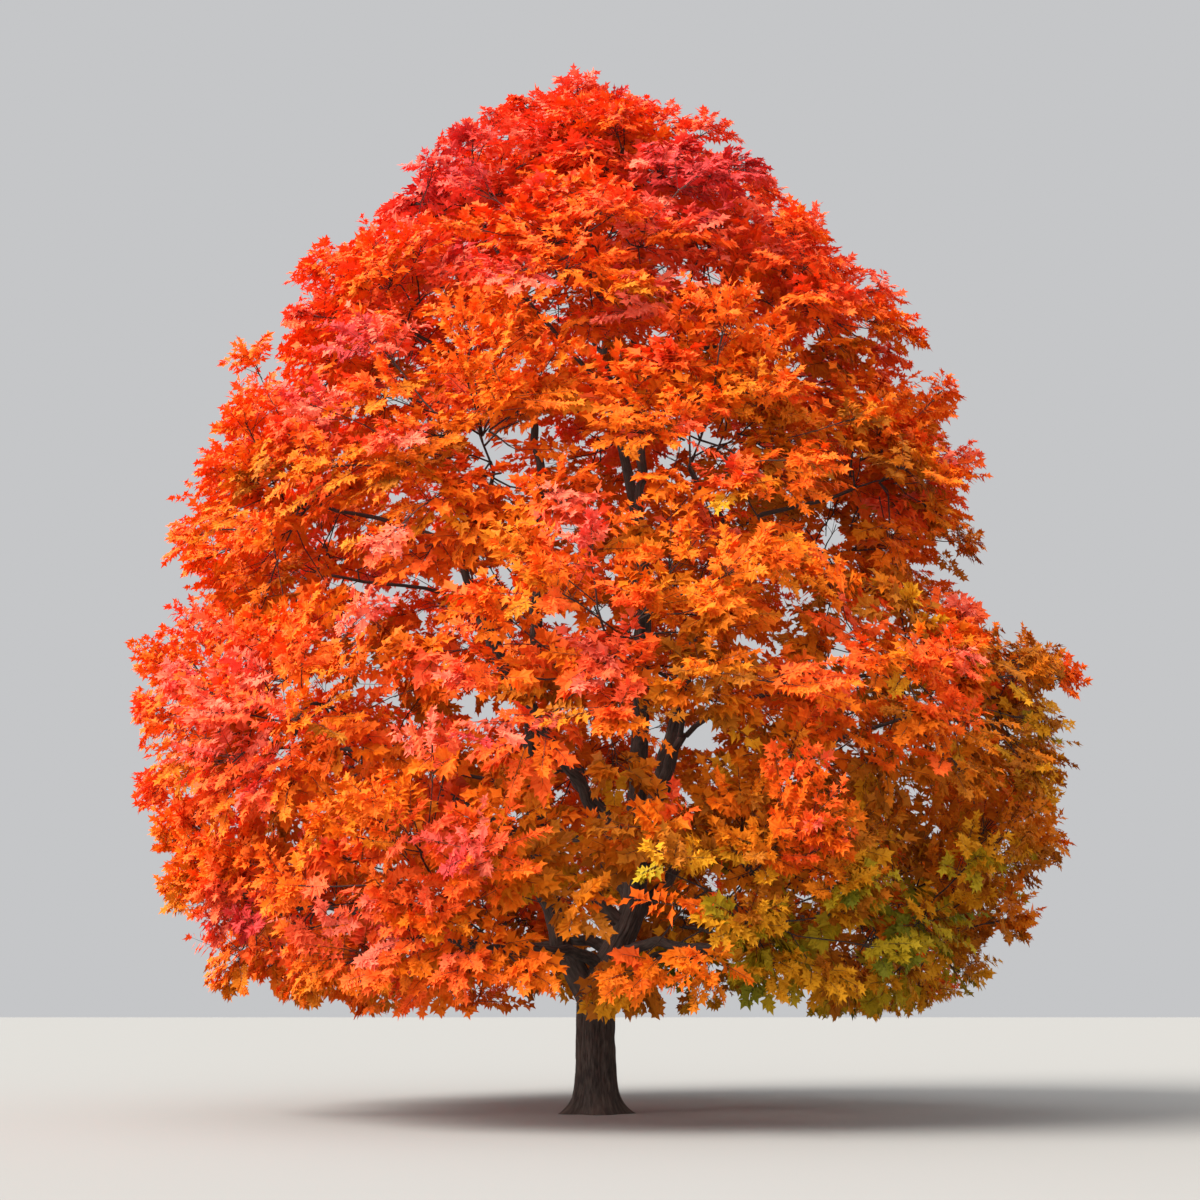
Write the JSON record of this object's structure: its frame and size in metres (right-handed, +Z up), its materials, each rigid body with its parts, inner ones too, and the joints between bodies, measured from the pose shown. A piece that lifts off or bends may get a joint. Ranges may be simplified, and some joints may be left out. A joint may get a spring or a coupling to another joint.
{
  "type": "maple tree",
  "caption": "Open-grown maple tree in full autumn leaf: short flared trunk, ascending boughs and a broad egg-shaped orange-red crown.",
  "frame": {"origin": "middle of the flat cut under the trunk, at ground level", "axes": "+Z up along the trunk, +X to the tree's right and -Y to its front, the side seen in the picture"},
  "size_m": [14.3426, 14.304, 16.2312],
  "materials": {
    "bark": "rough, furrowed dark grey-brown bark",
    "foliage": "autumn leaves, orange-red with gold and olive low down and coral high up, nearly matt"
  },
  "bodies": {
    "root": {"bough_high_1": "bark", "bough_high_2": "bark", "bough_high_3": "bark", "bough_low_1": "bark", "bough_low_2": "bark", "bough_low_3": "bark", "bough_low_4": "bark", "bough_middle_1": "bark", "bough_middle_2": "bark", "bough_middle_3": "bark", "bough_middle_4": "bark", "bough_skirt_1": "bark", "bough_skirt_2": "bark", "bough_skirt_3": "bark", "bough_skirt_4": "bark", "foliage_high_1": "foliage", "foliage_high_2": "foliage", "foliage_high_3": "foliage", "foliage_high_4": "foliage", "foliage_high_5": "foliage", "foliage_high_6": "foliage", "foliage_low_1": "foliage", "foliage_low_2": "foliage", "foliage_low_3": "foliage", "foliage_low_4": "foliage", "foliage_low_5": "foliage", "foliage_low_6": "foliage", "foliage_low_7": "foliage", "foliage_low_8": "foliage", "foliage_middle_1": "foliage", "foliage_middle_2": "foliage", "foliage_middle_3": "foliage", "foliage_middle_4": "foliage", "foliage_middle_5": "foliage", "foliage_middle_6": "foliage", "foliage_middle_7": "foliage", "foliage_middle_8": "foliage", "foliage_shoulder_1": "foliage", "foliage_shoulder_2": "foliage", "foliage_shoulder_3": "foliage", "foliage_shoulder_4": "foliage", "foliage_skirt_1": "foliage", "foliage_skirt_2": "foliage", "foliage_skirt_3": "foliage", "foliage_skirt_4": "foliage", "foliage_skirt_5": "foliage", "foliage_skirt_6": "foliage", "foliage_skirt_7": "foliage", "foliage_skirt_8": "foliage", "foliage_top": "foliage", "trunk": "bark"}
  },
  "joints": []
}
